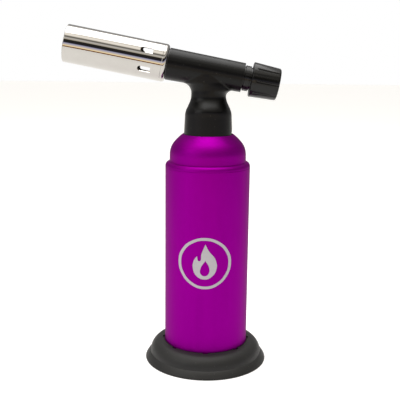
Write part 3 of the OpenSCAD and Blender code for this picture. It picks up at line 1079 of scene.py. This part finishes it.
# Bright chromium over polished steel: a mirror, a little warm, with hairline scratches
# along the tube and smudges that soften it in patches.
chrome = bpy.data.materials.new("bright_chromium")
chrome.use_nodes = True
tree = chrome.node_tree
shader = tree.nodes["Principled BSDF"]
shader.inputs["Metallic"].default_value = 1.0
place = add_node(tree, "ShaderNodeTexCoord").outputs["Object"]
smudges = add_node(
    tree,
    "ShaderNodeTexNoise",
    {"Scale": 1 / (9 * mm), "Detail": 5.0, "Roughness": 0.6},
    {"Vector": place},
)
plating = add_node(
    tree,
    "ShaderNodeMix",
    {"data_type": "RGBA", 6: srgb("c7c4c0"), 7: srgb("bcb9b4")},
    {0: smudges.outputs["Fac"]},
)
mirror = add_node(
    tree,
    "ShaderNodeMapRange",
    {"From Min": 0.35, "From Max": 0.75, "To Min": 0.02, "To Max": 0.055},
    {"Value": smudges.outputs["Fac"]},
)
# hairlines are 0.02 mm; drawn at 0.3 mm so that they show
along_tube = add_node(
    tree,
    "ShaderNodeMapping",
    {"Rotation": (0, radians(pitch), 0), "Scale": (0.04, 1, 1)},
    {"Vector": place},
)
hairlines = add_node(
    tree,
    "ShaderNodeTexNoise",
    {"Scale": 1 / (0.3 * mm), "Detail": 2.0},
    {"Vector": along_tube.outputs[0]},
)
bump = add_node(
    tree,
    "ShaderNodeBump",
    {"Strength": 0.25, "Distance": 0.002 * mm},
    {"Height": hairlines.outputs["Fac"]},
)
tree.links.new(plating.outputs[2], shader.inputs["Base Color"])
tree.links.new(mirror.outputs[0], shader.inputs["Roughness"])
tree.links.new(bump.outputs[0], shader.inputs["Normal"])
dress(tube, chrome, "torch")
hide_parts("burner_tube")

# Black acetal collar: turned, satin.
black_acetal = moulded("black_acetal", "0e0e0e", "161616", 0.25, 0.006, 0.4)
dress(nodes["burner_collar"], black_acetal)

# ---------------------------------------------------------------------------
# Inside the burner tube: the jet, the mixing tube that shows behind the
# slots, the flame holder, and the ring that centres them.
# ---------------------------------------------------------------------------

# Stainless that has been hot: straw and blue-grey heat tints at the flame end.
heated = machined("heat_tinted_stainless", "a59a86", "77757c", 0.3, 0.2, "X")
dress(nodes["gas_pipe"], brass)
dress(nodes["jet"], brass)
dress(nodes["mixing_tube"], stainless)
dress(nodes["flame_holder"], heated)
dress(nodes["spacer_ring"], heated)

# ---------------------------------------------------------------------------
# Igniter: a piezo unit in the barrel, its plunger and push ring, a silicone
# wire to the electrode in its ceramic tube, and a strip to the valve.
# ---------------------------------------------------------------------------

piezo_case = moulded("cream_abs", "d2cdbd", "c4beac", 0.5, 0.008, 0.4)
wire_silicone = moulded("red_silicone", "8f1d18", "a52a22", 0.4, 0.004, 0.5)
# Unglazed alumina: chalk white, finely gritty.
alumina = moulded("alumina_ceramic", "e2dfd6", "d2cec2", 0.2, 0.01, 0.6)
dress(nodes["piezo_body"], piezo_case)
dress(nodes["piezo_plunger"], black_acetal)
dress(nodes["push_ring"], black_acetal)
dress(nodes["ignition_wire"], wire_silicone)
dress(nodes["ground_strip"], brass)
dress(nodes["electrode_insulator"], alumina)
dress(nodes["electrode"], heated)

# ---------------------------------------------------------------------------
# Rear collar: a black turned ring with two fine lines, pressed into the back
# of the barrel. The knob's sleeve slides in it.
# ---------------------------------------------------------------------------

collar_r = 7.45
collar_back = -25.2
collar_front = -20.9
collar_rear = -24.1
collar_core_r = 6.7
collar_edge = 0.12
spigot_r = 7.1
spigot_end = -18.5
sleeve_bore_r = 6.35
line_w = 0.25
line_depth = 0.2

collar_outline = [(spigot_r, spigot_end), (spigot_r, barrel_back)]
collar_outline += [(collar_core_r, barrel_back), (collar_core_r, collar_front)]
collar_outline += [(collar_r - collar_edge, collar_front), (collar_r, collar_front - collar_edge)]
for line in (-21.85, -23.25):
    collar_outline += [(collar_r, line), (collar_r - line_depth, line)]
    collar_outline += [(collar_r - line_depth, line - line_w), (collar_r, line - line_w)]
collar_outline += [(collar_r, collar_rear + collar_edge), (collar_r - collar_edge, collar_rear)]
collar_outline += [(collar_core_r, collar_rear), (collar_core_r, collar_back)]
collar_outline += [(4.9, collar_back), (4.9, -24.4), (sleeve_bore_r, -24.4)]
collar_outline += [(sleeve_bore_r, spigot_end), (spigot_r, spigot_end)]
collar = turned("collar", collar_outline, sides=128)
put(collar, on_barrel(0, rear_lift))
smooth(collar)
collar_plastic = moulded("turned_acetal", "090909", "101010", 0.3, 0.006, 0.22, 0.35)
dress(collar, collar_plastic, "torch")
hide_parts("rear_collar")

# ---------------------------------------------------------------------------
# Knob: a charcoal moulding that turns to set the flame and pushes to light
# it. Eight finger grooves run out over its back edge, behind a plain band.
# ---------------------------------------------------------------------------

knob_r = 10.2
knob_rear_r = 9.4
knob_len = 16.4
knob_front = collar_back
knob_back = knob_front - knob_len
knob_edge = 1.2
knob_chamfer = 0.4
knob_band = 3.2
knob_skirt_r = 8.1
knob_skirt_depth = 5.3
groove_count = 8
groove_r = 0.75
first_groove = 88
tooth_w = 1.4
hub_r = 4.6
hub_front = -24.3
hex_r = 1.75
hex_end = -39.5
rim_bevel = 0.12

knob_floor = knob_front - knob_skirt_depth
knob_outline = (
    [(0, knob_back), (4, knob_back)]
    + arc(knob_rear_r - knob_edge, knob_back + knob_edge, knob_edge, -90, -3, 8)
    + [(knob_r, knob_front - knob_chamfer)]
    + arc(knob_r - knob_chamfer, knob_front - knob_chamfer, knob_chamfer, 20, 90, 4)
    + [(knob_skirt_r, knob_front), (knob_skirt_r, knob_floor)]
    + [(hub_r, knob_floor), (hub_r, hub_front), (0, hub_front)]
)
knob = turned("knob", knob_outline, sides=160)
lean = asin((knob_r - knob_rear_r) / knob_len)
groove_outline = [(0, -groove_r), (0.3, -0.68), (0.55, -0.5), (groove_r, 0)]
groove_outline += [(groove_r, knob_len), (0, knob_len)]
groove = turned("groove", groove_outline, sides=32)
put(
    groove,
    Matrix.Translation(((knob_r + 0.1) * mm, 0, (knob_front - knob_band) * mm))
    @ Matrix.Rotation(radians(180) + lean, 4, "Y"),
)
combine(knob, around(groove, groove_count, first_groove))
tooth = block(
    "tooth",
    (-tooth_w / 2, 0.3 - knob_r, knob_front - 0.2),
    (tooth_w / 2, -8.4, knob_front + 0.4),
)
combine(knob, tooth, "UNION")
hex_outline = [(0, hex_end), (hex_r, hex_end), (hex_r, -23), (0, -23)]
hex_bore = turned("hex_bore", hex_outline, sides=6)
combine(knob, hex_bore)
put(knob, on_barrel(0, rear_lift))
rim = knob.modifiers.new("rim", "BEVEL")
rim.width = rim_bevel * mm
rim.segments = 2
rim.limit_method = "ANGLE"
rim.angle_limit = radians(40)
pick(knob)
bpy.ops.object.modifier_apply(modifier=rim.name)
smooth(knob)

# Charcoal ABS: greyer than the head, satin, and polished on the ribs between its grooves.
knob_plastic = moulded("charcoal_abs", "090908", "0f0f0e", 0.35, 0.008, 0.22, 0.34)
dress(knob, knob_plastic, "knob")
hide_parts("control_knob")
